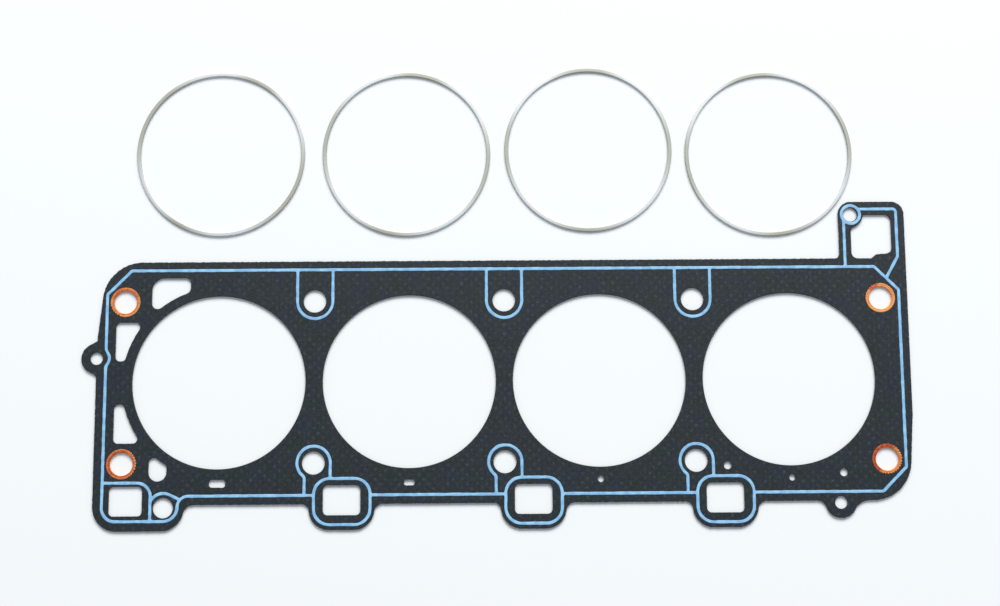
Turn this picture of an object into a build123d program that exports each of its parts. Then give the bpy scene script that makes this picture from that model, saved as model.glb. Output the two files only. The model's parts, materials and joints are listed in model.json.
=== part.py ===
from build123d import *
import math
import os

# Cylinder head gasket for a four-cylinder engine, in millimetres.
# The origin is the centre of the bore row on the plane that the gasket rests on.
# +X runs along the bores, +Y to the rear edge, which carries the tab, and +Z from the block to the head.

# Engine grid
bore_count = 4
bore_pitch = 122.0
bore_web = 11.0
stud_row_spacing = 103.8
stud_hole_d = 14.6

# Facing sheet
sheet_thickness = 1.3
end_margin = 17.65
side_margin = 26.0
corner_radius = 25.3
left_taper = 5.25
left_taper_length = 52.9
right_taper = 3.95
right_taper_length = 54.9

# Square ports at the front edge, and the feet round them
port_width = 23.9
port_height = 18.8
port_corner = 3.1
port_stud_offset = 18.1
port_stud_gap = 6.9
foot_side_wall = 8.9
foot_front_wall = 9.3
foot_corner = 13.2
foot_fillet_left = 4.4
foot_fillet_right = 5.5

# Foot at the left end, with a square port and a round one
end_port_width = 21.15
end_port_height = 18.6
end_port_corner = 2.9
end_port_wall = 10.2
round_port_d = 12.8
round_port_gap = 6.9
round_port_drop = 4.15
round_port_wall = 6.65
end_foot_corner = 15.5
round_foot_corner = 14.2
round_foot_fillet = 6.6

# Locating ears
ear_hole_d = 8.0
ear_wall = 5.8
left_ear_y = 15.65
left_ear_spread = 1.2
left_ear_fillet = 2.6
right_ear_inset = 48.0
right_ear_drop = 1.3
right_ear_fillet_in = 6.0
right_ear_fillet_out = 11.0

# Tab at the right end of the rear edge
tab_width = 42.9
tab_height = 37.4
tab_corner = 8.2
tab_fillet = 3.3
tab_hole_d = 9.2
tab_hole_inset = 7.85
tab_hole_drop = 8.5
tab_hole_land = 3.6
window_wall_right = 8.65
window_wall_rear = 8.6
window_step = 2.5
window_slope = 1.0
window_step_start = 12.8
window_step_run = 3.1
window_corner = 4.1
window_small_corner = 1.5

# Water and drain openings round the first bore
rear_port_wall = 34.45
rear_port_width = 25.05
rear_port_edge = 10.3
rear_port_land = 5.95
side_port_wall = 11.9
side_port_start = 13.8
side_port_length = 25.0
side_port_land = 6.5
side_port_corner = 3.0
drain_d = 11.6
drain_wall = 34.85
drain_y = -57.1

# Slots and small holes in front of the bores
slot_bore_gap = 9.1
long_slot_length = 10.5
long_slot_width = 4.9
long_slot_corner = 1.8
short_slot_length = 6.8
short_slot_width = 3.6
short_slot_corner = 1.3
meter_hole_d = 4.0
meter_hole_bore_gap = 7.7
vent_hole_d = 5.0
vent_stud_offset = 20.0
vent_stud_drop = 3.3
end_vent_stud_offset = 27.9
end_vent_stud_drop = 8.25

# Printed sealing bead, the same on both faces
bead_width = 2.05
bead_height = 0.25
bead_shift = 0.2
bead_end_inset = 5.8
bead_side_inset = 5.55
bead_corner_cut = 15.3
bead_bend = 2.0
stud_loop_gap = 4.1
key_loop_gap = 3.3
key_neck_offset = 5.9
key_neck_bend = 3.0
port_loop_side_gap = 6.0
port_loop_rear_gap = 4.25
port_loop_front_gap = 5.95
port_loop_corner = 10.1
end_loop_gap = 2.25
end_loop_side_gap = 5.1
end_loop_corner = 8.6
end_loop_front_inset = 6.15
round_loop_gap = 2.5
round_loop_rear_gap = 2.8
round_loop_bend = 6.8
ear_kink_depth = 3.05
ear_kink_half = 5.6
ear_kink_bend = 6.0
tab_ring_gap = 1.35
tab_bead_left_inset = 3.15
tab_bead_right_inset = 5.45
tab_bead_rear_inset = 4.95
tab_bead_foot = 1.1

# Copper eyelets of the four end stud holes
eyelet_bore_d = 14.66
eyelet_wall = 0.3
eyelet_flange_width = 1.94
eyelet_flange_thickness = 0.25
eyelet_curl = 0.3
eyelet_clearance = 0.05
pucker_count = 40
pucker_radius = 0.5
pucker_depth = 0.16
pucker_sectors = {
    "copper_eyelet_front_left": (-50, 40),
    "copper_eyelet_front_right": (-100, 40),
    "copper_eyelet_rear_left": (180, 225),
}

# Combustion rings, taken out and lying behind the gasket
ring_clearance = 0.65
ring_width = 2.45
ring_height = 1.5
ring_edge_chamfer = 0.35
ring_lay = [(-1.4, 16.95), (-2.05, 16.35), (-4.95, 18.75), (-8.6, 15.25)]

# Places that follow from the sizes above
bore_d = bore_pitch - bore_web
bore_xs = [(i - (bore_count - 1) / 2) * bore_pitch for i in range(bore_count)]
stud_xs = [(i - bore_count / 2) * bore_pitch for i in range(bore_count + 1)]
inner_stud_xs = stud_xs[1:-1]
end_stud_xs = [stud_xs[0], stud_xs[-1]]
stud_y = stud_row_spacing / 2
half_length = stud_xs[-1] + end_margin
half_width = stud_y + side_margin
sheet_bottom = max(bead_height, eyelet_flange_thickness)
sheet_top = sheet_bottom + sheet_thickness
port_rear = -stud_y - stud_hole_d / 2 - port_stud_gap
port_front = port_rear - port_height
port_xs = [x + port_stud_offset for x in inner_stud_xs]
foot_front = port_front - foot_front_wall
end_port_left = -half_length + end_port_wall
end_port_right = end_port_left + end_port_width
round_port_x = end_port_right + round_port_gap + round_port_d / 2
round_port_y = (port_rear + port_front) / 2 - round_port_drop
round_foot_right = round_port_x + round_port_d / 2 + round_port_wall
ear_d = ear_hole_d + 2 * ear_wall
right_ear_x = half_length - right_ear_inset
right_ear_y = -half_width - right_ear_drop
tab_left = half_length - tab_width
tab_rear = half_width + tab_height
tab_hole_x = tab_left + tab_hole_inset
tab_hole_y = tab_rear - tab_hole_drop
slot_y = -bore_d / 2 - slot_bore_gap
meter_hole_y = -bore_d / 2 - meter_hole_bore_gap


def rectangle(left, bottom, right, top):
    return Pos((left + right) / 2, (bottom + top) / 2) * Rectangle(right - left, top - bottom)


def disc(x, y, diameter):
    return Pos(x, y) * Circle(diameter / 2)


def round_corner(face, x, y, radius):
    """Round the corner nearest to x, y. Where its edges are too short, the radius is made smaller."""
    for share in (1.0, 0.8, 0.6, 0.4, 0.2):
        corner = face.vertices().sort_by_distance((x, y))[0]
        try:
            return fillet(corner, share * radius)
        except ValueError:
            continue
    return face


def bore_edge_y(x, land):
    """How far from the centre line the land round the first bore lies at x."""
    reach = bore_d / 2 + land
    across = min(abs(x - bore_xs[0]), 0.98 * reach)
    return math.sqrt(reach**2 - across**2)


def bore_edge_x(y, land):
    """The left edge of the land round the first bore at height y."""
    reach = bore_d / 2 + land
    up = min(abs(y), 0.98 * reach)
    return bore_xs[0] - math.sqrt(reach**2 - up**2)


# Outline: a long sheet whose rear left and front right corners taper before they are rounded
outline = make_face(
    Polyline(
        (-half_length, -half_width),
        (-half_length, half_width - left_taper_length),
        (-half_length + left_taper, half_width),
        (half_length, half_width),
        (half_length, -half_width + right_taper_length),
        (half_length - right_taper, -half_width),
        close=True,
    )
)
outline = round_corner(outline, -half_length, half_width, corner_radius)
outline = round_corner(outline, half_length, -half_width, corner_radius)

# Feet round the three square ports
for x in port_xs:
    left = x - port_width / 2 - foot_side_wall
    right = x + port_width / 2 + foot_side_wall
    corner_y = foot_front + foot_corner
    outline += disc(left + foot_corner, corner_y, 2 * foot_corner)
    outline += disc(right - foot_corner, corner_y, 2 * foot_corner)
    outline += rectangle(left + foot_corner, foot_front, right - foot_corner, port_rear)
for x in port_xs:
    left = x - port_width / 2 - foot_side_wall
    right = x + port_width / 2 + foot_side_wall
    outline = round_corner(outline, left, -half_width, foot_fillet_left)
    outline = round_corner(outline, right, -half_width, foot_fillet_right)

# Foot at the left end
round_foot_x = round_foot_right - round_foot_corner
outline += disc(round_foot_x, foot_front + round_foot_corner, 2 * round_foot_corner)
outline += rectangle(-half_length, foot_front, round_foot_x, port_rear)
outline = round_corner(outline, -half_length, foot_front, end_foot_corner)
outline = round_corner(outline, round_foot_right, -half_width, round_foot_fillet)

# Ears for the locating pins
left_root = Line(
    (-half_length, left_ear_y - ear_d / 2 - left_ear_spread),
    (-half_length, left_ear_y + ear_d / 2 + left_ear_spread),
)
left_ear = disc(-half_length, left_ear_y, ear_d)
outline += make_hull(left_ear.edges() + [left_root.edge()])
outline = round_corner(outline, -half_length, left_root.start_point().Y, left_ear_fillet)
outline = round_corner(outline, -half_length, left_root.end_point().Y, left_ear_fillet)
outline += disc(right_ear_x, right_ear_y, ear_d)
outline = round_corner(outline, right_ear_x - ear_d / 2, -half_width, right_ear_fillet_in)
outline = round_corner(outline, right_ear_x + ear_d / 2, -half_width, right_ear_fillet_out)

# Tab at the rear right corner
tab = rectangle(tab_left, 0, half_length, tab_rear)
tab = round_corner(tab, tab_left, tab_rear, tab_corner)
tab = round_corner(tab, half_length, tab_rear, tab_corner)
outline += tab - rectangle(tab_left, 0, half_length, half_width - 1)
outline = round_corner(outline, tab_left, half_width, tab_fillet)

# Bores and stud holes
openings = Sketch()
for x in bore_xs:
    openings += disc(x, 0, bore_d)
for x in inner_stud_xs:
    openings += disc(x, stud_y, stud_hole_d)
    openings += disc(x, -stud_y, stud_hole_d)
eyelet_tube_d = eyelet_bore_d + 2 * eyelet_wall
for x in end_stud_xs:
    openings += disc(x, stud_y, eyelet_tube_d + 2 * eyelet_clearance)
    openings += disc(x, -stud_y, eyelet_tube_d + 2 * eyelet_clearance)

# Ports in the feet
for x in port_xs:
    openings += Pos(x, (port_rear + port_front) / 2) * RectangleRounded(port_width, port_height, port_corner)
end_port_x = (end_port_left + end_port_right) / 2
end_port = RectangleRounded(end_port_width, end_port_height, end_port_corner)
openings += Pos(end_port_x, port_rear - end_port_height / 2) * end_port
openings += disc(round_port_x, round_port_y, round_port_d)

# Rear water port over the first bore
rear_left = -half_length + rear_port_wall
rear_right = rear_left + rear_port_width
rear_top = half_width - rear_port_edge
rear_port = rectangle(rear_left, 0, rear_right, rear_top)
rear_port -= disc(bore_xs[0], 0, bore_d + 2 * rear_port_land)
rear_port = round_corner(rear_port, rear_left, rear_top, 8.0)
rear_port = round_corner(rear_port, rear_right, rear_top, 3.8)
rear_port = round_corner(rear_port, rear_left, bore_edge_y(rear_left, rear_port_land), 3.9)
rear_port = round_corner(rear_port, rear_right, bore_edge_y(rear_right, rear_port_land), 4.0)
openings += rear_port

# Two side water ports, mirror images across the bore row
side_left = -half_length + side_port_wall
side_top = side_port_start + side_port_length
side_port = rectangle(side_left, side_port_start, bore_xs[0], side_top)
side_port -= disc(bore_xs[0], 0, bore_d + 2 * side_port_land)
for y in (side_port_start, side_top):
    side_port = round_corner(side_port, side_left, y, side_port_corner)
    side_port = round_corner(side_port, bore_edge_x(y, side_port_land), y, side_port_corner)
openings += side_port
openings += mirror(side_port, Plane.XZ)

# Drain hole in front of the first bore
drain_left = -half_length + drain_wall
drain_right = drain_left + drain_d
drain = disc(drain_left + drain_d / 2, drain_y, drain_d)
drain += rectangle(drain_left, drain_y, drain_right, drain_y / 2)
drain -= disc(bore_xs[0], 0, bore_d + 2 * side_port_land)
drain = round_corner(drain, drain_left, -bore_edge_y(drain_left, side_port_land), 3.4)
drain = round_corner(drain, drain_right, -bore_edge_y(drain_right, side_port_land), 1.4)
openings += drain

# Slots, metering holes and vents
openings += Pos(bore_xs[0], slot_y) * RectangleRounded(long_slot_length, long_slot_width, long_slot_corner)
openings += Pos(bore_xs[1], slot_y) * RectangleRounded(short_slot_length, short_slot_width, short_slot_corner)
openings += disc(bore_xs[2], meter_hole_y, meter_hole_d)
openings += disc(bore_xs[3], meter_hole_y, meter_hole_d)
openings += disc(inner_stud_xs[-1] + vent_stud_offset, -stud_y - vent_stud_drop, vent_hole_d)
openings += disc(stud_xs[-1] - end_vent_stud_offset, -stud_y - end_vent_stud_drop, vent_hole_d)

# Ear holes, tab hole and the window in the tab
openings += disc(-half_length, left_ear_y, ear_hole_d)
openings += disc(right_ear_x, right_ear_y, ear_hole_d)
openings += disc(tab_hole_x, tab_hole_y, tab_hole_d)
window_left = tab_hole_x
window_right = half_length - window_wall_right
window_rear = tab_rear - window_wall_rear
step_x = window_left + window_step_start
step_y = half_width + window_step
window = make_face(
    Polyline(
        (window_left, half_width),
        (step_x, half_width),
        (step_x + window_step_run, step_y),
        (window_right, step_y + window_slope),
        (window_right, window_rear),
        (window_left, window_rear),
        close=True,
    )
)
land_r = tab_hole_d / 2 + tab_hole_land
land_x = tab_hole_x + land_r * math.cos(math.radians(60))
land_y = tab_hole_y - land_r * math.sin(math.radians(60))
land_foot_y = tab_hole_y - land_r / math.sin(math.radians(60))
land = disc(tab_hole_x, tab_hole_y, 2 * land_r)
land += make_face(
    Polyline((tab_hole_x, tab_hole_y), (land_x, land_y), (tab_hole_x, land_foot_y), close=True)
)
window -= land
window = round_corner(window, window_left, half_width, window_corner)
window = round_corner(window, window_right, step_y + window_slope, window_corner)
window = round_corner(window, window_right, window_rear, window_corner)
window = round_corner(window, step_x, half_width, window_small_corner)
window = round_corner(window, step_x + window_step_run, step_y, window_small_corner)
window = round_corner(window, window_left, land_foot_y, 2 * window_small_corner)
window = round_corner(window, tab_hole_x + land_r, window_rear, window_small_corner)
openings += window

sheet = outline - openings
gasket_body = Pos(0, 0, sheet_bottom) * extrude(sheet, sheet_thickness)

# Bead: the frame round the sheet, broken by the three port loops at the front
bead_x = half_length - bead_end_inset
bead_y = half_width - bead_side_inset
loop_half = port_width / 2 + port_loop_side_gap
loop_rear = port_rear + port_loop_rear_gap
loop_front = port_front - port_loop_front_gap
end_line_y = foot_front + end_loop_front_inset
round_loop_r = round_port_d / 2 + round_loop_gap
round_line_x = round_port_x + round_loop_r
rise = -bead_y - end_line_y
front_bend = max(0.5, min(round_loop_bend, rise - round_loop_r - 0.1))
frame = FilletPolyline(
    (port_xs[-1] + loop_half, -bead_y),
    (bead_x - bead_corner_cut, -bead_y),
    (bead_x, -bead_y + bead_corner_cut),
    (bead_x, bead_y - bead_corner_cut),
    (bead_x - bead_corner_cut, bead_y),
    (-bead_x + bead_corner_cut, bead_y),
    (-bead_x, bead_y - bead_corner_cut),
    (-bead_x, left_ear_y + ear_kink_half),
    (-bead_x + ear_kink_depth, left_ear_y),
    (-bead_x, left_ear_y - ear_kink_half),
    (-bead_x, end_line_y),
    (round_line_x, end_line_y),
    (round_line_x, -bead_y),
    (port_xs[0] - loop_half, -bead_y),
    radius=[
        bead_bend,
        bead_bend,
        bead_bend,
        bead_bend,
        bead_bend,
        bead_bend,
        key_neck_bend,
        ear_kink_bend,
        key_neck_bend,
        end_loop_corner,
        min(round_loop_r, rise - 0.6),
        front_bend,
    ],
)
bead = trace(frame, bead_width)
for i in range(len(port_xs) - 1):
    between = Line((port_xs[i] + loop_half, -bead_y), (port_xs[i + 1] - loop_half, -bead_y))
    bead += trace(between, bead_width)

# Bead loops round the square ports
loop_y = (loop_rear + loop_front) / 2
loop_depth = loop_rear - loop_front
for x in port_xs:
    outer = RectangleRounded(
        2 * loop_half + bead_width, loop_depth + bead_width, port_loop_corner + bead_width / 2
    )
    inner = RectangleRounded(
        2 * loop_half - bead_width, loop_depth - bead_width, port_loop_corner - bead_width / 2
    )
    bead += Pos(x, loop_y) * (outer - inner)

# Bead loops round the inner studs: open ones at the rear, keyhole-shaped ones at the front
stud_loop_r = stud_hole_d / 2 + stud_loop_gap
key_loop_r = stud_hole_d / 2 + key_loop_gap
neck_x = key_neck_offset + key_neck_bend
neck_y = math.sqrt((key_loop_r + key_neck_bend) ** 2 - neck_x**2)
neck_angle = math.degrees(math.atan2(neck_y, neck_x))
for x in inner_stud_xs:
    loop = CenterArc((x, stud_y), stud_loop_r, 180, 180)
    loop += Line((x - stud_loop_r, stud_y), (x - stud_loop_r, bead_y))
    loop += Line((x + stud_loop_r, stud_y), (x + stud_loop_r, bead_y))
    bead += trace(loop, bead_width)
    key = Line((x + key_loop_r, loop_rear), (x + key_loop_r, -stud_y))
    key += CenterArc((x, -stud_y), key_loop_r, 0, 180 + neck_angle)
    key += CenterArc((x - neck_x, -stud_y - neck_y), key_neck_bend, neck_angle, -neck_angle)
    key += Line((x - key_neck_offset, -stud_y - neck_y), (x - key_neck_offset, -bead_y))
    bead += trace(key, bead_width)

# Bead loop round the two ports at the left end
end_line_x = end_port_right + end_loop_side_gap
bead += trace(
    FilletPolyline(
        (-bead_x, port_rear + end_loop_gap),
        (end_line_x, port_rear + end_loop_gap),
        (end_line_x, end_line_y),
        radius=[end_loop_corner],
    ),
    bead_width,
)
over_r = round_port_d / 2 + round_loop_rear_gap
over_start = math.degrees(math.acos(max(-0.98, (end_line_x - round_port_x) / over_r)))
over = CenterArc((round_port_x, round_port_y), over_r, 64, over_start - 64)
over_end = Vector(round_port_x, round_port_y) + Vector(over_r, 0).rotate(Axis.Z, 64)
over += Line(over_end, over_end + Vector(7.7, 0).rotate(Axis.Z, -26))
bead += trace(over, bead_width)

# Bead on the tab
tab_bead_left = tab_left + tab_bead_left_inset
tab_bead_right = half_length - tab_bead_right_inset
tab_bead_rear = tab_rear - tab_bead_rear_inset
tab_ring_r = tab_hole_d / 2 + tab_ring_gap
ring_dx = math.sqrt(max(1.0, tab_ring_r**2 - (tab_bead_rear - tab_hole_y) ** 2))
ring_dy = math.sqrt(max(1.0, tab_ring_r**2 - (tab_bead_left - tab_hole_x) ** 2))
bead += disc(tab_hole_x, tab_hole_y, 2 * tab_ring_r + bead_width)
bead -= disc(tab_hole_x, tab_hole_y, 2 * tab_ring_r - bead_width)
bead += trace(
    FilletPolyline(
        (tab_hole_x + ring_dx, tab_bead_rear),
        (tab_bead_right, tab_bead_rear),
        (tab_bead_right, half_width + tab_bead_foot),
        (bead_x - bead_corner_cut / 2, bead_y - bead_corner_cut / 2),
        radius=[bead_bend, bead_bend],
    ),
    bead_width,
)
bead += trace(Line((tab_bead_left, tab_hole_y - ring_dy), (tab_bead_left, bead_y)), bead_width)
bead = Pos(bead_shift, 0) * bead

upper_sealing_bead = Pos(0, 0, sheet_top) * extrude(bead, bead_height)
lower_sealing_bead = Pos(0, 0, sheet_bottom - bead_height) * extrude(bead, bead_height)

# Eyelet: a tube through the sheet with a flange on each face, curled over at the mouths
eyelet_flange_r = eyelet_tube_d / 2 + eyelet_flange_width
eyelet_low = sheet_bottom - eyelet_flange_thickness
eyelet_high = sheet_top + eyelet_flange_thickness
eyelet_height = eyelet_high - eyelet_low
flange = Cylinder(eyelet_flange_r, eyelet_flange_thickness, align=(Align.CENTER, Align.CENTER, Align.MIN))
eyelet = Cylinder(eyelet_tube_d / 2, eyelet_height, align=(Align.CENTER, Align.CENTER, Align.MIN))
eyelet += flange
eyelet += Pos(0, 0, eyelet_height - eyelet_flange_thickness) * flange
eyelet -= Cylinder(eyelet_bore_d / 2, eyelet_height, align=(Align.CENTER, Align.CENTER, Align.MIN))
mouths = eyelet.edges().filter_by(GeomType.CIRCLE).filter_by(lambda e: e.radius < eyelet_bore_d / 2 + 0.01)
eyelet = chamfer(mouths, eyelet_curl)
eyelet = Pos(0, 0, eyelet_low) * eyelet

eyelet_places = {
    "copper_eyelet_front_left": (end_stud_xs[0], -stud_y),
    "copper_eyelet_front_right": (end_stud_xs[1], -stud_y),
    "copper_eyelet_rear_left": (end_stud_xs[0], stud_y),
    "copper_eyelet_rear_right": (end_stud_xs[1], stud_y),
}
pucker_pitch = 360 / pucker_count
pieces = {
    "gasket_body": gasket_body,
    "upper_sealing_bead": upper_sealing_bead,
    "lower_sealing_bead": lower_sealing_bead,
}
for name, (x, y) in eyelet_places.items():
    crimped = eyelet
    if name in pucker_sectors:
        first, last = pucker_sectors[name]
        pucker = Cylinder(pucker_radius, 2 * eyelet_flange_thickness)
        pucker = Pos(eyelet_flange_r + pucker_radius - pucker_depth, 0, eyelet_high) * pucker
        for step in range(int((last - first) / pucker_pitch) + 1):
            crimped -= Rot(0, 0, first + step * pucker_pitch) * pucker
    pieces[name] = Pos(x, y) * crimped

# Combustion rings: each fits its bore in the sheet
ring_r = bore_d / 2 - ring_clearance
section = Pos(ring_r - ring_width / 2, ring_height / 2) * Rectangle(ring_width, ring_height)
section = chamfer(section.vertices(), ring_edge_chamfer)
ring = revolve(Plane.XZ * section, Axis.Z)
for i, (shift, gap) in enumerate(ring_lay):
    place = Pos(bore_xs[i] + shift, half_width + gap + ring_r)
    pieces[f"combustion_ring_{i + 1}"] = place * ring

os.makedirs("parts", exist_ok=True)
for name, piece in pieces.items():
    solid = piece.solids()[0] if len(piece.solids()) == 1 else piece
    solid.label = name
    export_step(solid, f"parts/{name}.step")
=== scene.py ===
# %% [markdown]
# # A composite cylinder head gasket, with its four combustion rings
#
# The gasket is a dark sheet, 1.3 mm thick, with a light blue bead printed on it and four copper
# eyelets crimped into its end stud holes. Four steel rings lie loose beside it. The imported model
# gives the sizes. This lesson gives each piece its fine form and its finish.

# %% Load the frame
import json
import math

import bmesh
import bpy
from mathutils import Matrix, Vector, noise


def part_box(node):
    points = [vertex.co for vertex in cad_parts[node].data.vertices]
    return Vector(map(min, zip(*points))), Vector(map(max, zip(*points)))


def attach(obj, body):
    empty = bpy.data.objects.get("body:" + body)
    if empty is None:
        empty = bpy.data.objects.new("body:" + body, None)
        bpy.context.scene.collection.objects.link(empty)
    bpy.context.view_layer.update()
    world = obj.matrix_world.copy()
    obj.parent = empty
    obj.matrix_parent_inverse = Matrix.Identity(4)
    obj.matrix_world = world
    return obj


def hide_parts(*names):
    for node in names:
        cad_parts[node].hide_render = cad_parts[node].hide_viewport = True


MM = 0.001

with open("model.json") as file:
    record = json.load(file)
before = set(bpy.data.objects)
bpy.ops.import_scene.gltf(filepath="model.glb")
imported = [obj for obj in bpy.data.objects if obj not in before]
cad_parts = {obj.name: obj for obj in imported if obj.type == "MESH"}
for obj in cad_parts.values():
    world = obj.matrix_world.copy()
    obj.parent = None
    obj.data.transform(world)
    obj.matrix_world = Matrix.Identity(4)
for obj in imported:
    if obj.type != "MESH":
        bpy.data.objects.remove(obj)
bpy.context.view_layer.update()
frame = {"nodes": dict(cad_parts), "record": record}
nodes = frame["nodes"]
print("nodes:", ", ".join(sorted(nodes)))

# %% [markdown]
# ## The camera
#
# The object lies flat and the camera looks down on it from almost straight above, a little to the
# near side. A normal lens at arm's length keeps the perspective mild, as on a product picture.

# %% Camera
CAMERA_PLACE = Vector((-9.5, -68.8, 896.15)) * MM
CAMERA_TURN = (7.568, -0.397, -0.417)
LENS_LENGTH = 50.256
SENSOR_WIDTH = 36.0

camera_data = bpy.data.cameras.new("camera")
camera_data.lens = LENS_LENGTH
camera_data.sensor_width = SENSOR_WIDTH
camera = bpy.data.objects.new("camera", camera_data)
camera.location = CAMERA_PLACE
camera.rotation_euler = [math.radians(angle) for angle in CAMERA_TURN]
bpy.context.scene.collection.objects.link(camera)
bpy.context.scene.camera = camera
print("camera height in mm:", round(CAMERA_PLACE.z / MM, 1))

# %% [markdown]
# ## Helpers for materials
#
# A colour is easiest to pick as a screen value, such as #3c444a, but the renderer adds up light,
# so it wants linear values. One function turns the one into the other. A second function adds a
# node with its settings and links, so that each material reads as a short list. A noise stays
# mostly between 0.3 and 0.7, so this span is the one that is stretched to new values.

# %% Material helpers
NOISE_SPAN = {"From Min": 0.3, "From Max": 0.7}


def colour(hex_value):
    """The linear colour of an sRGB hex value, with full opacity."""
    channels = [int(hex_value[i:i + 2], 16) / 255 for i in (1, 3, 5)]
    linear = [c / 12.92 if c <= 0.04045 else ((c + 0.055) / 1.055) ** 2.4 for c in channels]
    return (*linear, 1.0)


def add_node(tree, kind, settings=None, links=None, values=None):
    """A new node with its settings, then links and values by an input's name or number."""
    node = tree.nodes.new("ShaderNode" + kind)
    for name, value in (settings or {}).items():
        setattr(node, name, value)
    for name, value in (values or {}).items():
        node.inputs[name].default_value = value
    for name, socket in (links or {}).items():
        tree.links.new(socket, node.inputs[name])
    return node


def new_material(name):
    """An empty node material and its surface shader, already linked to the output."""
    material = bpy.data.materials.new(name)
    material.use_nodes = True
    tree = material.node_tree
    tree.nodes.clear()
    shader = add_node(tree, "BsdfPrincipled")
    add_node(tree, "OutputMaterial", links={"Surface": shader.outputs["BSDF"]})
    return material, tree, shader


# %% [markdown]
# ## The floor and the light
#
# The floor is a plain sheet of white board. The light is a large soft box beyond the far edge,
# so the far walls of the holes throw a narrow soft shadow on the floor. An even surround, a
# little bluer than the box, fills the shadow. The picture is shown with the plain Standard
# curve, so white stays white.

# %% Floor and light
FLOOR_SIZE = 6.0
FLOOR_ROUGHNESS = 0.9
FLOOR_GLOSS = 0.1
KEY_PLACE = Vector((0.6, 4.68, 3.68))
KEY_SIZE = (5.6, 3.0)
KEY_POWER = 466.0
SURROUND_STRENGTH = 0.43

bpy.context.scene.view_settings.view_transform = "Standard"

floor_material, tree, shader = new_material("white_board")
shader.inputs["Base Color"].default_value = colour("#f4f5f6")
shader.inputs["Roughness"].default_value = FLOOR_ROUGHNESS
shader.inputs["Specular IOR Level"].default_value = FLOOR_GLOSS

bpy.ops.object.select_all(action="DESELECT")
bpy.ops.mesh.primitive_plane_add(size=FLOOR_SIZE)
floor = bpy.context.object
floor.name = "floor"
floor.data.materials.append(floor_material)

key_data = bpy.data.lights.new("key_light", "AREA")
key_data.shape = "RECTANGLE"
key_data.size = KEY_SIZE[0]
key_data.size_y = KEY_SIZE[1]
key_data.energy = KEY_POWER
key_data.color = colour("#fcfdfb")[:3]
key = bpy.data.objects.new("key_light", key_data)
key.location = KEY_PLACE
key.rotation_euler = (-KEY_PLACE).to_track_quat("-Z", "Y").to_euler()
bpy.context.scene.collection.objects.link(key)

surround = bpy.data.worlds.new("surround")
surround.use_nodes = True
surround_light = surround.node_tree.nodes["Background"]
surround_light.inputs["Color"].default_value = colour("#edf5ff")
surround_light.inputs["Strength"].default_value = SURROUND_STRENGTH
bpy.context.scene.world = surround
print("light from", tuple(round(v, 2) for v in KEY_PLACE), "m")

# %% [markdown]
# ## Finish of the facing: calendered graphite and fibre composite
#
# The facing is a soft graphite and fibre mix, rolled on to a perforated steel core. It is a dark
# charcoal with a dull sheen. To the eye it is not one flat tone: soft specks in staggered rows
# show where the tongues of the core press through, each with a fainter one beside it, and
# greenish and bluish clouds a centimetre across lie over them. The product of two cosine waves,
# one along the sheet and one across it, has its crests in staggered rows, so it gives the specks.
# Noise gives the clouds, and a finer noise makes the fibrous grain, which is also the bump. The
# real grain is too fine to show from here, so it is drawn about a millimetre coarse.

# %% Facing specks
SPECK_PITCH = (6.12 * MM, 5.98 * MM)
SPECK_START = (3.67 * MM, 3.17 * MM)
SPECK_EDGE = 0.3
SPECK_WANDER = 1.3 * MM
TWIN_SPECK_OFF = 2.25 * MM
TWIN_SPECK_SHARE = 0.4
SPECK_STRENGTHS = {"From Min": 0.35, "From Max": 0.65, "To Min": 0.0, "To Max": 1.2}


def speck_rows(tree, place, start):
    """Crests of 1 in staggered rows, the first one at start, and 0 between them."""
    turns = [2 * math.pi / pitch for pitch in SPECK_PITCH]
    phase = add_node(
        tree, "Mapping", {}, {"Vector": place},
        {
            "Scale": (turns[0], turns[1], 1),
            "Location": (-start[0] * turns[0], -start[1] * turns[1], 0),
        },
    )
    parts = add_node(tree, "SeparateXYZ", {}, {"Vector": phase.outputs["Vector"]})
    crests = add_node(tree, "Math", {"operation": "MULTIPLY", "use_clamp": True})
    for i, axis in enumerate("XY"):
        wave = add_node(tree, "Math", {"operation": "COSINE"}, {"Value": parts.outputs[axis]})
        tree.links.new(wave.outputs["Value"], crests.inputs[i])
    return crests.outputs["Value"]


facing, tree, shader = new_material("graphite_fibre_composite")
place = add_node(tree, "TexCoord").outputs["Object"]
drift = add_node(
    tree, "TexNoise", {}, {"Vector": place}, {"Scale": 2 / SPECK_PITCH[0], "Detail": 1.0},
)
wander = add_node(
    tree, "VectorMath", {"operation": "MULTIPLY_ADD"}, {0: drift.outputs["Color"]},
    {1: (2 * SPECK_WANDER, 2 * SPECK_WANDER, 0), 2: (-SPECK_WANDER, -SPECK_WANDER, 0)},
)
wandered = add_node(
    tree, "VectorMath", {"operation": "ADD"}, {0: place, 1: wander.outputs["Vector"]},
).outputs["Vector"]
twin_start = (SPECK_START[0], SPECK_START[1] - TWIN_SPECK_OFF)
all_rows = add_node(
    tree, "Math", {"operation": "MULTIPLY_ADD"},
    {0: speck_rows(tree, wandered, twin_start), 2: speck_rows(tree, wandered, SPECK_START)},
    {1: TWIN_SPECK_SHARE},
)
specks = add_node(
    tree, "MapRange", {}, {"Value": all_rows.outputs["Value"]}, {"From Min": SPECK_EDGE},
)
uneven = add_node(
    tree, "TexNoise", {}, {"Vector": place},
    {"Scale": 2 / SPECK_PITCH[0], "Detail": 2.0, "Roughness": 0.6},
)
speck_strength = add_node(
    tree, "MapRange", {}, {"Value": uneven.outputs["Fac"]}, SPECK_STRENGTHS,
)
broken = add_node(
    tree, "Math", {"operation": "MULTIPLY", "use_clamp": True},
    {0: specks.outputs["Result"], 1: speck_strength.outputs["Result"]},
)
print("facing specks every", round(SPECK_PITCH[0] / MM, 1), "mm")

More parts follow.
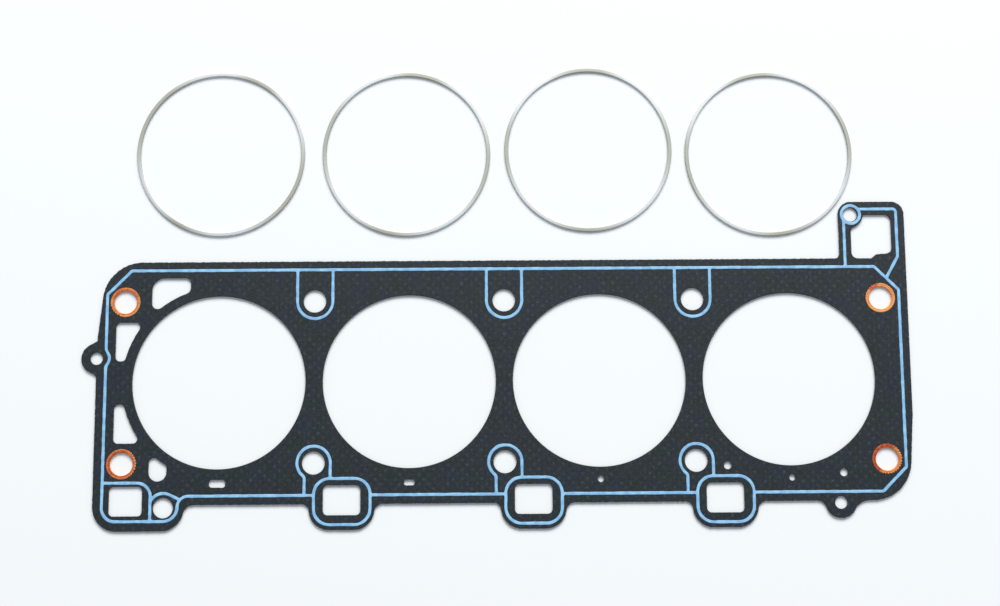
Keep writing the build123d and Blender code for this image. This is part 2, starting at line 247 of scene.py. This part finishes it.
# %% Facing material
SPECK_TONE = "#2f373c"
CLOUD_SIZE = 11 * MM
CLOUD_TONES = [(0.38, "#152020"), (0.5, "#172026"), (0.62, "#161f2b")]
GRAIN_SIZE = 1.0 * MM
FIBRE_SHADES = {"To Min": 0.45, "To Max": 1.55}
FACING_ROUGHNESS = {"To Min": 0.4, "To Max": 0.56}
GRAIN_RELIEF = {"Strength": 0.5, "Distance": 0.05 * MM}

clouds = add_node(
    tree, "TexNoise", {}, {"Vector": place},
    {"Scale": 1 / CLOUD_SIZE, "Detail": 3.0, "Roughness": 0.6},
)
ground = add_node(tree, "ValToRGB", {}, {"Fac": clouds.outputs["Fac"]})
ground.color_ramp.elements.new(CLOUD_TONES[1][0])
for stop, (position, tone) in zip(ground.color_ramp.elements, CLOUD_TONES):
    stop.position = position
    stop.color = colour(tone)
toned = add_node(
    tree, "Mix", {"data_type": "RGBA"},
    {"Factor": broken.outputs["Value"], 6: ground.outputs["Color"]}, {7: colour(SPECK_TONE)},
)
grain = add_node(
    tree, "TexNoise", {}, {"Vector": place},
    {"Scale": 1 / GRAIN_SIZE, "Detail": 3.0, "Roughness": 0.65},
)
fibres = add_node(
    tree, "MapRange", {}, {"Value": grain.outputs["Fac"]}, {**NOISE_SPAN, **FIBRE_SHADES},
)
fibrous = add_node(
    tree, "VectorMath", {"operation": "SCALE"},
    {"Vector": toned.outputs[2], "Scale": fibres.outputs["Result"]},
)
sheen = add_node(
    tree, "MapRange", {}, {"Value": grain.outputs["Fac"]}, {**NOISE_SPAN, **FACING_ROUGHNESS},
)
relief = add_node(tree, "Bump", {}, {"Height": grain.outputs["Fac"]}, GRAIN_RELIEF)
tree.links.new(fibrous.outputs["Vector"], shader.inputs["Base Color"])
tree.links.new(sheen.outputs["Result"], shader.inputs["Roughness"])
tree.links.new(relief.outputs["Normal"], shader.inputs["Normal"])
print("facing grain about", round(GRAIN_SIZE / MM, 1), "mm")

# %% [markdown]
# ## Finish of the bead: screen-printed silicone rubber
#
# The bead is a pigmented silicone rubber, printed as a paste and cured. It is sky blue, with a
# soft satin look. The paste is never laid down quite evenly, so its tone rises and falls a little
# every few millimetres.

# %% Bead material
BEAD_WAVE = 4 * MM
BEAD_TONES = [(0.38, "#83b5df"), (0.64, "#9bceef")]
BEAD_ROUGHNESS = 0.42

silicone, tree, shader = new_material("printed_silicone_rubber")
place = add_node(tree, "TexCoord").outputs["Object"]
waves = add_node(
    tree, "TexNoise", {}, {"Vector": place}, {"Scale": 1 / BEAD_WAVE, "Detail": 2.0},
)
tint = add_node(tree, "ValToRGB", {}, {"Fac": waves.outputs["Fac"]})
for stop, (position, tone) in zip(tint.color_ramp.elements, BEAD_TONES):
    stop.position = position
    stop.color = colour(tone)
tree.links.new(tint.outputs["Color"], shader.inputs["Base Color"])
shader.inputs["Roughness"].default_value = BEAD_ROUGHNESS
print("bead tone changes every", round(BEAD_WAVE / MM), "mm")

# %% [markdown]
# ## Finish of the eyelets: soft rolled copper
#
# The eyelets are soft copper strip, pressed to shape and crimped. The metal is a warm, light
# orange. It is painted redder and darker near the mouth and in the creases, as painted shade, and
# redder along one side. Copper is a true metal, so its colour is all in its reflection, and the
# rolled skin is matt enough to gather light from a wide angle. How red each place is painted,
# painted shade included, is written on the piece itself, as an attribute, when it is crimped
# further down. A fine noise is added to it, because the skin of rolled copper is never even.

# %% Copper material
COPPER_STAIN = 1.4 * MM
STAIN_SHARES = {"To Min": -0.28, "To Max": 0.28}
# the red end of these tones is also painted shade, by the mouth and in the creases
COPPER_AND_PAINTED_SHADE_TONES = [(0.0, "#f2a868"), (0.45, "#e0794a"), (1.0, "#b8402a")]
COPPER_ROUGHNESS = 0.54

copper, tree, shader = new_material("soft_rolled_copper")
place = add_node(tree, "TexCoord").outputs["Object"]
stain = add_node(
    tree, "TexNoise", {}, {"Vector": place},
    {"Scale": 1 / COPPER_STAIN, "Detail": 3.0, "Roughness": 0.6},
)
stain_share = add_node(
    tree, "MapRange", {}, {"Value": stain.outputs["Fac"]}, {**NOISE_SPAN, **STAIN_SHARES},
)
# painted shade: the attribute read here makes the copper redder and darker by the mouth and in the
# creases, where less light reaches, and redder along one side
redness_and_painted_shade = add_node(tree, "Attribute", {"attribute_name": "redness_and_painted_shade"})
redness = add_node(
    tree, "Math", {"operation": "ADD", "use_clamp": True},
    {0: redness_and_painted_shade.outputs["Fac"], 1: stain_share.outputs["Result"]},
)
tint = add_node(tree, "ValToRGB", {}, {"Fac": redness.outputs["Value"]})
tint.color_ramp.elements.new(COPPER_AND_PAINTED_SHADE_TONES[1][0])
for stop, (position, tone) in zip(tint.color_ramp.elements, COPPER_AND_PAINTED_SHADE_TONES):
    stop.position = position
    stop.color = colour(tone)
tree.links.new(tint.outputs["Color"], shader.inputs["Base Color"])
shader.inputs["Metallic"].default_value = 1.0
shader.inputs["Roughness"].default_value = COPPER_ROUGHNESS
print("copper stains about", round(COPPER_STAIN / MM, 1), "mm")

# %% [markdown]
# ## Finish of the rings: turned stainless steel
#
# Each ring is turned from stainless steel and left bright. Its top reads as white and warm grey
# stretches that follow each other round the ring, because a thin ring is never quite flat and so
# reflects the light unevenly. These stretches are painted reflection: the ring is built flat, and
# they are painted into its colour. The pattern follows the ring, so it reads the piece's own UV
# map, the plan of the ring. The angle round the ring is found from it, and its cosine, taken four
# times as fast, swings between a grey and a bright painted stretch. A little noise keeps the
# stretches from being all alike.

# %% Steel material
PAINTED_REFLECTION_STRETCHES = 4
UNEVENNESS = 0.3
UNEVEN_CLOUDS = {"Scale": 1.6, "Detail": 1.0}
STEEL_PAINTED_REFLECTION_TONES = [(0.2, "#b3b4a8"), (0.68, "#d6d9d8")]
STEEL_ROUGHNESS = 0.6

steel, tree, shader = new_material("turned_stainless_steel")
plan = add_node(tree, "UVMap", {"uv_map": "around"}).outputs["UV"]
parts = add_node(tree, "SeparateXYZ", {}, {"Vector": plan})
angle = add_node(
    tree, "Math", {"operation": "ARCTAN2"}, {0: parts.outputs["Y"], 1: parts.outputs["X"]},
)
turns = add_node(
    tree, "Math", {"operation": "MULTIPLY"}, {0: angle.outputs["Value"]}, {1: PAINTED_REFLECTION_STRETCHES},
)
swing = add_node(tree, "Math", {"operation": "COSINE"}, {"Value": turns.outputs["Value"]})
level = add_node(
    tree, "MapRange", {}, {"Value": swing.outputs["Value"]}, {"From Min": 1.0, "From Max": -1.0},
)
uneven = add_node(
    tree, "TexNoise", {"noise_dimensions": "2D"}, {"Vector": plan}, UNEVEN_CLOUDS,
)
blended = add_node(
    tree, "Mix", {"data_type": "FLOAT"},
    {2: level.outputs["Result"], 3: uneven.outputs["Fac"]}, {"Factor": UNEVENNESS},
)
# painted reflection: the grey and bright stretches stand in for light reflected by a ring that is
# not quite flat
tint = add_node(tree, "ValToRGB", {}, {"Fac": blended.outputs[0]})
for stop, (position, tone) in zip(tint.color_ramp.elements, STEEL_PAINTED_REFLECTION_TONES):
    stop.position = position
    stop.color = colour(tone)
tree.links.new(tint.outputs["Color"], shader.inputs["Base Color"])
shader.inputs["Metallic"].default_value = 1.0
shader.inputs["Roughness"].default_value = STEEL_ROUGHNESS
print("steel has", PAINTED_REFLECTION_STRETCHES, "bright stretches round a ring")

# %% [markdown]
# ## Helpers for modelling
#
# The operators act on whatever is selected, so each step first says what that is. One helper makes
# a piece the only selected one, another picks faces, edges or corners by a rule, and a third one
# closes the work: it smooths the shading, keeps the light on large flat faces even with a weighted
# normal, says which body carries the piece and where its finish comes from, and hides the solid of
# the frame that it stands for.

# %% Modelling helpers
SHARP_FROM = 35


def work_on(piece):
    """Only this piece is selected and active, in edit mode, with nothing selected in it."""
    bpy.ops.object.select_all(action="DESELECT")
    bpy.context.view_layer.objects.active = piece
    piece.select_set(True)
    bpy.ops.object.mode_set(mode="EDIT")
    bpy.ops.mesh.select_all(action="DESELECT")


def mesh_in_hand():
    """The editable mesh of the piece in hand."""
    return bmesh.from_edit_mesh(bpy.context.object.data)


def pick(kind, rule):
    """In edit mode, selects only the elements that the rule is true for, and counts them."""
    bpy.ops.mesh.select_mode(type=kind)
    bpy.ops.mesh.select_all(action="DESELECT")
    mesh = mesh_in_hand()
    elements = {"VERT": mesh.verts, "EDGE": mesh.edges, "FACE": mesh.faces}[kind]
    picked = [element for element in elements if rule(element)]
    for element in picked:
        element.select_set(True)
    bmesh.update_edit_mesh(bpy.context.object.data)
    return len(picked)


def close_work(piece, material, stands_for, sharp_from=SHARP_FROM):
    """Ends edit mode, gives the finish and smooth shading, parents the piece to the root body and
    hides its solid.
    """
    bpy.ops.mesh.select_all(action="SELECT")
    bpy.ops.mesh.normals_make_consistent(inside=False)
    bpy.ops.object.mode_set(mode="OBJECT")
    bpy.ops.object.shade_smooth_by_angle(angle=math.radians(sharp_from))
    piece.modifiers.new("flat_faces_stay_flat", "WEIGHTED_NORMAL").keep_sharp = True
    bpy.ops.object.modifier_apply(modifier="flat_faces_stay_flat")
    piece.data.materials.clear()
    piece.data.materials.append(material)
    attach(piece, "root")
    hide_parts(stands_for)
    print(piece.name, "has", len(piece.data.polygons), "faces")


# %% [markdown]
# ## The skin of a flat piece
#
# The sheet and the bead are flat pieces with a complicated outline, and the frame already holds
# that outline exactly. So each starts from the top skin of its solid: the walls and the bottom are
# deleted and the loose triangles are merged. The rims are then read corner by corner, with the
# skin always on the left, so that a later step knows on which side the material lies.

# %% Skin helpers
LEVEL = 0.9
SAME_PLACE = 0.05 * MM
ROUND_WITHIN = 0.02 * MM


def upper_skin(name, node_name):
    """A new piece with only the upper faces of a solid, merged into one skin."""
    piece = bpy.data.objects.new(name, nodes[node_name].data.copy())
    bpy.context.scene.collection.objects.link(piece)
    work_on(piece)
    pick("FACE", lambda face: face.normal.z < LEVEL)
    bpy.ops.mesh.delete(type="FACE")
    bpy.ops.mesh.select_all(action="SELECT")
    bpy.ops.mesh.remove_doubles(threshold=SAME_PLACE)
    return piece


def signed_area(loop):
    """The area inside a rim, positive if the rim runs counter-clockwise seen from above."""
    pairs = zip(loop, loop[1:] + loop[:1])
    return sum(a.co.x * b.co.y - b.co.x * a.co.y for a, b in pairs) / 2


def rim_loops(mesh):
    """The corners along each rim of an open skin, in order, with the skin on the left."""
    loops, seen = [], set()
    for start in mesh.verts:
        if start in seen or not start.is_boundary:
            continue
        loop, corner, way = [], start, None
        while corner not in seen:
            seen.add(corner)
            loop.append(corner)
            way = next(e for e in corner.link_edges if e.is_boundary and e is not way)
            corner = way.other_vert(corner)
        loops.append(loop)
    outer = max(loops, key=lambda loop: abs(signed_area(loop)))
    for loop in loops:
        if (signed_area(loop) > 0) != (loop is outer):
            loop.reverse()
    return loops


def round_holes():
    """The centre and the radius of each rim whose corners lie on one circle."""
    circles = []
    mesh = mesh_in_hand()
    for loop in rim_loops(mesh):
        centre = sum((corner.co for corner in loop), Vector()) / len(loop)
        reaches = [(corner.co - centre).length for corner in loop]
        if max(reaches) - min(reaches) < ROUND_WITHIN:
            circles.append((centre, max(reaches)))
    return circles


# %% [markdown]
# ## A finer rim
#
# Each rim is divided into steps of about a millimetre, which gives the shape enough corners for a
# fine edge. A divided chord is still a chord, so the new corners are moved. Where those of the
# frame all lie on one circle, the new ones are put on it too, and any other rim is eased into a
# curve.

# %% Rim helpers
SHORTEST_STEP = 0.25 * MM
NEAR_CIRCLE = 0.3 * MM
EASING = (0.5, -0.53)
EASING_ROUNDS = 6


def divide_rim(step):
    """Halves each rim edge until none is longer than the step."""
    while pick("EDGE", lambda edge: edge.is_boundary and edge.calc_length() > step):
        bpy.ops.mesh.subdivide(number_cuts=1, ngon=True)


def ease_loop(loop):
    """Softens the chords of a rim into a curve: a step in, then a slightly longer step out."""
    for share in EASING * EASING_ROUNDS:
        places = [corner.co.copy() for corner in loop]
        for i, corner in enumerate(loop):
            middle = (places[i - 1] + places[(i + 1) % len(loop)]) / 2
            corner.co = places[i].lerp(middle, share)


def circle_of(loop, circles):
    """The circle that a rim lies on, or None."""
    for centre, radius in circles:
        if abs((loop[0].co - centre).length - radius) < NEAR_CIRCLE:
            return centre, radius
    return None


def true_rim(circles):
    """Merges crowded corners, puts those of round holes on their circle and eases the rest."""
    bpy.ops.mesh.select_all(action="SELECT")
    bpy.ops.mesh.remove_doubles(threshold=SHORTEST_STEP)
    mesh = mesh_in_hand()
    for loop in rim_loops(mesh):
        circle = circle_of(loop, circles)
        if circle is None:
            ease_loop(loop)
            continue
        centre, radius = circle
        for corner in loop:
            corner.co = centre + (corner.co - centre).normalized() * radius


# %% [markdown]
# ## From a skin to a plate
#
# The skin is made anew from its rims: they are extruded inwards into narrow strips, which take the
# bevels well, and the flat rest is filled from strip to strip. An extrusion straight down gives
# the thickness, and a bevel rounds the upper edge.

# %% Plate helpers
FACING_UP = 0.7
UPRIGHT = 0.5


def inward(places, i):
    """The direction into the skin, in its plane, at one place of a rim."""
    along = places[(i + 1) % len(places)] - places[i - 1]
    return Vector((-along.y, along.x, 0)).normalized()


def shift_rim(loop, shift):
    """Moves each corner of a rim into the skin by shift(place)."""
    places = [corner.co.copy() for corner in loop]
    for i, corner in enumerate(loop):
        corner.co = places[i] + inward(places, i) * shift(places[i])


def fill_between_rims(strip_width):
    """Replaces the skin by an even strip of faces along each rim and one flat filling."""
    inner = {}
    mesh = mesh_in_hand()
    for loop in rim_loops(mesh):
        places = [corner.co.copy() for corner in loop]
        moved = [place + inward(places, i) * strip_width for i, place in enumerate(places)]
        for i, place in enumerate(places):
            smooth = (moved[i - 1] + 2 * moved[i] + moved[(i + 1) % len(moved)]) / 4
            inner[tuple(place)] = smooth
    pick("EDGE", lambda edge: not edge.is_boundary)
    bpy.ops.mesh.delete(type="EDGE_FACE")
    bpy.ops.mesh.select_all(action="SELECT")
    bpy.ops.mesh.extrude_edges_move()
    for corner in mesh_in_hand().verts:
        if corner.select:
            corner.co = inner[tuple(corner.co)]
    bpy.ops.mesh.fill(use_beauty=True)


def give_thickness(thickness):
    """Pulls the skin down into a solid plate with a flat underside."""
    bpy.ops.mesh.select_all(action="SELECT")
    seat = max(corner.co.z for corner in mesh_in_hand().verts) - thickness
    bpy.ops.mesh.extrude_region_move(
        TRANSFORM_OT_translate={"value": (0, 0, -thickness)}
    )
    bpy.ops.transform.resize(value=(1, 1, 0), center_override=(0, 0, seat))
    bpy.ops.mesh.select_all(action="SELECT")
    bpy.ops.mesh.normals_make_consistent(inside=False)


def soften_rim(width, segments):
    """Bevels the edges between the walls and the upper face."""
    pick(
        "EDGE",
        lambda edge: len(edge.link_faces) == 2
        and max(face.normal.z for face in edge.link_faces) > FACING_UP
        and min(abs(face.normal.z) for face in edge.link_faces) < UPRIGHT,
    )
    bpy.ops.mesh.bevel(offset=width, segments=segments, affect="EDGES", clamp_overlap=False)


# %% [markdown]
# ## The sheet
#
# A steel-rule die punches the sheet in one stroke. The punch rolls the upper edge over a little,
# and the soft facing tears rather than cuts, so the outer rim is finely frayed, while the walls
# of the round holes, cut by solid punches, stay clean. The rim is first moved sideways by a
# small noise, more on the outline than in the windows, then the skin gets its thickness and its
# rolled edge.

# %% Sheet
SHEET_STEP = 0.8 * MM
FRAY_PITCH = 1.7 * MM
FRAY_DEPTH = 0.26 * MM
TEAR_PITCH = 7 * MM
TEAR_DEPTH = 0.5 * MM
TEAR_FROM = 0.25
FRAYED_LENGTH = 120 * MM
SHORT_RIM_SHARE = 0.4
ROLLED_EDGE = 0.12 * MM
ROLLED_SEGMENTS = 2
SHEET_STRIP = 0.3 * MM

sheet_low, sheet_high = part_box("gasket_body")
sheet_thickness = sheet_high.z - sheet_low.z


def fray(place):
    """How far the torn rim stands off its line: fine teeth, and a deeper one here and there."""
    tooth = noise.noise(place / FRAY_PITCH)
    tear = max(0.0, noise.noise(place / TEAR_PITCH) - TEAR_FROM)
    return FRAY_DEPTH * tooth + TEAR_DEPTH * tear * noise.noise(place / (FRAY_PITCH / 2))


def loop_length(loop):
    """The length round a rim."""
    return sum((loop[i].co - loop[i - 1].co).length for i in range(len(loop)))


sheet = upper_skin("facing_sheet", "gasket_body")
circles = round_holes()
divide_rim(SHEET_STEP)
true_rim(circles)
mesh = mesh_in_hand()
for loop in rim_loops(mesh):
    if circle_of(loop, circles) is None:
        depth = 1.0 if loop_length(loop) > FRAYED_LENGTH else SHORT_RIM_SHARE
        shift_rim(loop, lambda place: fray(place) * depth)
    for corner in loop:
        corner.co.x = min(max(corner.co.x, sheet_low.x), sheet_high.x)
        corner.co.y = min(max(corner.co.y, sheet_low.y), sheet_high.y)
fill_between_rims(SHEET_STRIP)
give_thickness(sheet_thickness)
soften_rim(ROLLED_EDGE, ROLLED_SEGMENTS)
close_work(sheet, facing, "gasket_body")
print(len(circles), "round holes put on their true circle")

# %% [markdown]
# ## The printed beads
#
# A bead is a line of paste about 2 mm wide and a quarter of a millimetre high. It shrinks a little
# as it cures, and surface tension rounds its shoulders and leaves it wider here and narrower
# there. The rim is shifted by a slow and a finer noise, the inner edge of its strip of faces
# stands a little higher, and a bevel rounds the shoulders. The lower bead is the same print on
# the other face, so it is a mirrored copy.

# %% Beads
BEAD_STEP = 1.0 * MM
LUMP_PITCH = 4.2 * MM
LUMP_DEPTH = 0.15 * MM
FINE_LUMP_PITCH = 2.1 * MM
FINE_LUMP_DEPTH = 0.09 * MM
SHRINKAGE = 0.08 * MM
CROWN_INSET = 0.38 * MM
CROWN_DROP = 0.05 * MM
SHOULDER = 0.14 * MM
SHOULDER_SEGMENTS = 3
BEAD_SHARP_FROM = 60

bead_low, bead_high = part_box("upper_sealing_bead")
bead_height = bead_high.z - bead_low.z


def lump(place):
    """How far the edge of the cured paste stands back from its line."""
    wave = LUMP_DEPTH * noise.noise(place / LUMP_PITCH)
    return SHRINKAGE + wave + FINE_LUMP_DEPTH * noise.noise(place / FINE_LUMP_PITCH)


bead = upper_skin("printed_bead_upper", "upper_sealing_bead")
circles = round_holes()
divide_rim(BEAD_STEP)
true_rim(circles)
mesh = mesh_in_hand()
for loop in rim_loops(mesh):
    shift_rim(loop, lump)
fill_between_rims(CROWN_INSET)
pick("VERT", lambda corner: corner.is_boundary)
bpy.ops.transform.translate(value=(0, 0, -CROWN_DROP))
give_thickness(bead_height)
soften_rim(SHOULDER, SHOULDER_SEGMENTS)
close_work(bead, silicone, "upper_sealing_bead", BEAD_SHARP_FROM)

under_bead = bpy.data.objects.new("printed_bead_lower", bead.data.copy())
bpy.context.scene.collection.objects.link(under_bead)
work_on(under_bead)
bpy.ops.mesh.select_all(action="SELECT")
middle = (bead_high.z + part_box("lower_sealing_bead")[0].z) / 2
bpy.ops.transform.resize(value=(1, 1, -1), center_override=(0, 0, middle))
close_work(under_bead, silicone, "lower_sealing_bead", BEAD_SHARP_FROM)

# %% [markdown]
# ## The copper eyelets
#
# An eyelet is a short copper tube whose two ends are rolled out over the faces of the sheet. The
# section is drawn once, beside the hole: the tube's wall, a flange pulled out at each end, and a
# rounded mouth. Spinning it round the hole's axis gives the pattern for all four eyelets.

# %% Turned sections
TURN_STEPS = 216
SEAM_WITHIN = 0.002 * MM
AT_PLACE = 0.01 * MM


def section_block(name, low_corner, high_corner):
    """An upright rectangle in the plane through the axis, as a piece in edit mode."""
    centre = (low_corner + high_corner) / 2
    bpy.ops.object.select_all(action="DESELECT")
    bpy.ops.mesh.primitive_plane_add(size=1, location=centre, rotation=(math.pi / 2, 0, 0))
    piece = bpy.context.object
    piece.name = name
    span = high_corner - low_corner
    piece.scale = (span.x, span.z, 1)
    bpy.ops.object.transform_apply(location=True, rotation=True, scale=True)
    work_on(piece)
    return piece


def turn_section(axis_place):
    """Spins the outline of the flat section once round an upright axis and closes it."""
    pick("FACE", lambda face: True)
    bpy.ops.mesh.delete(type="ONLY_FACE")
    bpy.ops.mesh.select_all(action="SELECT")
    bpy.ops.mesh.spin(
        steps=TURN_STEPS, angle=2 * math.pi, center=axis_place, axis=(0, 0, 1)
    )
    bpy.ops.mesh.select_all(action="SELECT")
    bpy.ops.mesh.remove_doubles(threshold=SEAM_WITHIN)
    bpy.ops.mesh.normals_make_consistent(inside=False)


def near(corner, x, z):
    """True if a corner of the section lies at this place."""
    return abs(corner.co.x - x) < AT_PLACE and abs(corner.co.z - z) < AT_PLACE


# %% Eyelet section
EYELET_WALL = 0.3 * MM
FLANGE = 0.25 * MM
MOUTH_ROUND = 0.5 * MM
MOUTH_SEGMENTS = 6
TIP_ROUND = 0.1 * MM
TIP_SEGMENTS = 3
FLANGE_CUTS = 7
SPLIT_FROM = 1 * MM
LEVEL_WITHIN = math.radians(1)

first_name = "copper_eyelet_front_left"
eyelet_low, eyelet_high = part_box(first_name)
eyelet_centre = (eyelet_low + eyelet_high) / 2
stud_mount = next(m for m in frame["record"]["mounts"] if m["name"] == "end_studs")
mouth_radius = stud_mount["dims"]["hole_r_mm"] * MM
flange_radius = (eyelet_high.x - eyelet_low.x) / 2
mouth_x = eyelet_centre.x + mouth_radius
wall_x = mouth_x + EYELET_WALL
tip_x = eyelet_centre.x + flange_radius

eyelet = section_block(
    "eyelet_pattern",
    Vector((mouth_x, eyelet_centre.y, eyelet_low.z)),
    Vector((wall_x, eyelet_centre.y, eyelet_high.z)),
)
for height in (eyelet_low.z + FLANGE, eyelet_high.z - FLANGE):
    bpy.ops.mesh.select_all(action="SELECT")
    bpy.ops.mesh.bisect(plane_co=(0, 0, height), plane_no=(0, 0, 1))
middle_z = (eyelet_low.z + eyelet_high.z) / 2
pick(
    "EDGE",
    lambda edge: all(corner.co.x > wall_x - AT_PLACE for corner in edge.verts)
    and abs(sum(corner.co.z for corner in edge.verts) / 2 - middle_z) > middle_z - 2 * FLANGE,
)
bpy.ops.mesh.extrude_region_move(TRANSFORM_OT_translate={"value": (tip_x - wall_x, 0, 0)})
bpy.ops.mesh.select_all(action="SELECT")
bpy.ops.mesh.dissolve_limited(angle_limit=LEVEL_WITHIN)
for end_z in (eyelet_low.z, eyelet_high.z):
    pick("VERT", lambda corner: near(corner, mouth_x, end_z))
    bpy.ops.mesh.bevel(
        offset=MOUTH_ROUND, segments=MOUTH_SEGMENTS, affect="VERTICES", clamp_overlap=False
    )
    pick("VERT", lambda corner: near(corner, tip_x, end_z))
    bpy.ops.mesh.bevel(
        offset=TIP_ROUND, segments=TIP_SEGMENTS, affect="VERTICES", clamp_overlap=False
    )
pick(
    "EDGE",
    lambda edge: edge.calc_length() > SPLIT_FROM
    and abs(edge.verts[0].co.z - edge.verts[1].co.z) < FLANGE / 2,
)
bpy.ops.mesh.subdivide(number_cuts=FLANGE_CUTS, ngon=True)
turn_section(eyelet_centre)
bpy.ops.object.mode_set(mode="OBJECT")
print("eyelet mouth", round(2 * mouth_radius / MM, 2), "mm across")
print("eyelet flange", round(2 * flange_radius / MM, 2), "mm across")

# %% [markdown]
# ## The crimp of the eyelets
#
# The press that flattens the last flange gathers its edge into small puckers, on one side more
# than on the other. So each copy of the pattern gets its own crimp between two angles: a wave
# round the edge pulls it in and down, and its phase wanders, so that no two puckers are alike. A
# shallow groove runs round the flange. The mesh notes how red each place is painted: redder along
# one side, and redder and darker by the mouth and in the creases, as painted shade.

# %% Crimp
PUCKERS = 32
PUCKER_DEPTH = 0.6 * MM
PUCKER_SHARPNESS = 1.6
PUCKER_WANDER = 2.2
PUCKER_STRENGTH = 0.75
STRENGTH_CHANGE = 0.5
OUTSIDE_SHARE = 0.12
DRIFT_TURNS = 3
DRIFT_APART = 40
CREASE_DEPTH = 0.19 * MM
GROOVE_RADIUS = 8.25 * MM
GROOVE_WIDTH = 0.35 * MM
GROOVE_DEPTH = 0.07 * MM
SECTOR_FADE = 14.0
MOUTH_BAND = 1.5 * MM
CREASE_PAINTED_SHADE = 0.8
WALL_RED = 0.1
WALL_WITHIN = 0.02 * MM


def sector_share(angle, first, last):
    """1 inside the crimped sector, 0 outside it, with a soft start and end."""
    middle, half = (first + last) / 2, (last - first) / 2
    off = abs((angle - middle + 180) % 360 - 180)
    return min(max((half - off) / SECTOR_FADE + 0.5, 0.0), 1.0)


def crimp(piece, centre, puckered, reddened, red_share, mouth_painted_shade):
    """Folds the edge of the upper flange into puckers, presses a groove, and notes how red each
    place is painted, painted shade included.
    """
    redness_and_painted_shade = piece.data.attributes.new("redness_and_painted_shade", "FLOAT", "POINT")
    for corner in piece.data.vertices:
        arm = Vector((corner.co.x - centre.x, corner.co.y - centre.y, 0))
        reach = arm.length
        if corner.co.z < centre.z or reach < mouth_radius + WALL_WITHIN:
            redness_and_painted_shade.data[corner.index].value = WALL_RED
            continue
        angle = math.degrees(math.atan2(arm.y, arm.x))
        drift = noise.noise(arm.normalized() * DRIFT_TURNS + centre * DRIFT_APART)
        wave = math.sin(math.radians(angle * PUCKERS) + PUCKER_WANDER * drift)
        outward = min(max((reach - GROOVE_RADIUS) / (flange_radius - GROOVE_RADIUS), 0.0), 1.0)
        share = sector_share(angle, *puckered)
        strength = OUTSIDE_SHARE + (1 - OUTSIDE_SHARE) * share
        strength *= PUCKER_STRENGTH + STRENGTH_CHANGE * drift
        fold = (0.5 - 0.5 * wave) ** PUCKER_SHARPNESS * strength * outward
        groove = math.exp(-((reach - GROOVE_RADIUS) / GROOVE_WIDTH) ** 2)
        corner.co -= arm.normalized() * PUCKER_DEPTH * fold * outward
        if corner.co.z > centre.z + FLANGE:
            corner.co.z -= CREASE_DEPTH * fold + GROOVE_DEPTH * groove
        # painted shade: the band by the mouth and the creases are painted redder and darker, where
        # less light reaches
        near_mouth_shade = 1.0 - min(max((reach - mouth_radius) / MOUTH_BAND, 0.0), 1.0)
        redness_and_painted_shade.data[corner.index].value = (
            red_share * sector_share(angle, *reddened)
            + mouth_painted_shade * near_mouth_shade
            + CREASE_PAINTED_SHADE * fold
        )


# %% Crimped eyelets
EYELET_SHARP_FROM = 50
# For each eyelet: where its edge is puckered, where it is red, how red, and how much painted shade
# by the mouth
EYELETS = {
    "copper_eyelet_front_left": ((-62, 52), (60, 300), 0.25, 0.75),
    "copper_eyelet_front_right": ((-112, 50), (55, 240), 0.62, 0.35),
    "copper_eyelet_rear_left": ((190, 262), (20, 160), 0.22, 0.55),
    "copper_eyelet_rear_right": ((100, 150), (100, 145), 0.5, 0.12),
}

for node_name, (puckered, reddened, red_share, mouth_painted_shade) in EYELETS.items():
    low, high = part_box(node_name)
    centre = (low + high) / 2
    piece = bpy.data.objects.new(node_name.replace("copper_", ""), eyelet.data.copy())
    bpy.context.scene.collection.objects.link(piece)
    work_on(piece)
    bpy.ops.mesh.select_all(action="SELECT")
    bpy.ops.transform.translate(value=centre - eyelet_centre)
    bpy.ops.object.mode_set(mode="OBJECT")
    crimp(piece, centre, puckered, reddened, red_share, mouth_painted_shade)
    work_on(piece)
    close_work(piece, copper, node_name, EYELET_SHARP_FROM)
bpy.data.objects.remove(eyelet)

# %% [markdown]
# ## The combustion rings
#
# A ring is turned from solid: a flat section, 2.45 by 1.5 mm, with rounded corners. It is spun
# like the eyelet. Its UV map is its own plan, centred on the ring and measured in radii, so the
# finish can tell the angle round the ring. Each ring lies turned its own way, and the map is
# turned with it. A loose ring bends most along one line, some rings more than others, so the
# bright stretches of its reflection stand closer together at the two ends of that line. The ring
# is built flat and these stretches are painted reflection, so the map is squeezed there to match.

# %% Rings
RING_WIDTH = 2.45 * MM
RING_ROUND = 0.42 * MM
RING_SEGMENTS = 5
RING_SHARP_FROM = 40
# For each ring: the angle of the line that the real ring bends along, and how much the map of its
# painted reflection is squeezed there
RINGS = {
    "combustion_ring_1": (62, 13),
    "combustion_ring_2": (78, 4),
    "combustion_ring_3": (90, 0),
    "combustion_ring_4": (100, 4),
}

for node_name, (lie, squeeze) in RINGS.items():
    low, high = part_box(node_name)
    centre = (low + high) / 2
    outer_radius = (high.x - low.x) / 2
    ring = section_block(
        node_name.replace("combustion", "steel"),
        Vector((high.x - RING_WIDTH, centre.y, low.z)),
        Vector((high.x, centre.y, high.z)),
    )
    pick("VERT", lambda corner: True)
    bpy.ops.mesh.bevel(offset=RING_ROUND, segments=RING_SEGMENTS, affect="VERTICES")
    turn_section(centre)
    bpy.ops.object.mode_set(mode="OBJECT")
    for layer in list(ring.data.uv_layers):
        ring.data.uv_layers.remove(layer)
    plan = ring.data.uv_layers.new(name="around")
    for loop in ring.data.loops:
        arm = (ring.data.vertices[loop.vertex_index].co - centre) / outer_radius
        from_bend = math.atan2(arm.y, arm.x) - math.radians(lie)
        squeezed = from_bend + math.radians(squeeze) * math.sin(2 * from_bend)
        reach = math.hypot(arm.x, arm.y)
        plan.data[loop.index].uv = (reach * math.cos(squeezed), reach * math.sin(squeezed))
    work_on(ring)
    close_work(ring, steel, node_name, RING_SHARP_FROM)
print("rings", round(2 * outer_radius / MM, 1), "mm across")
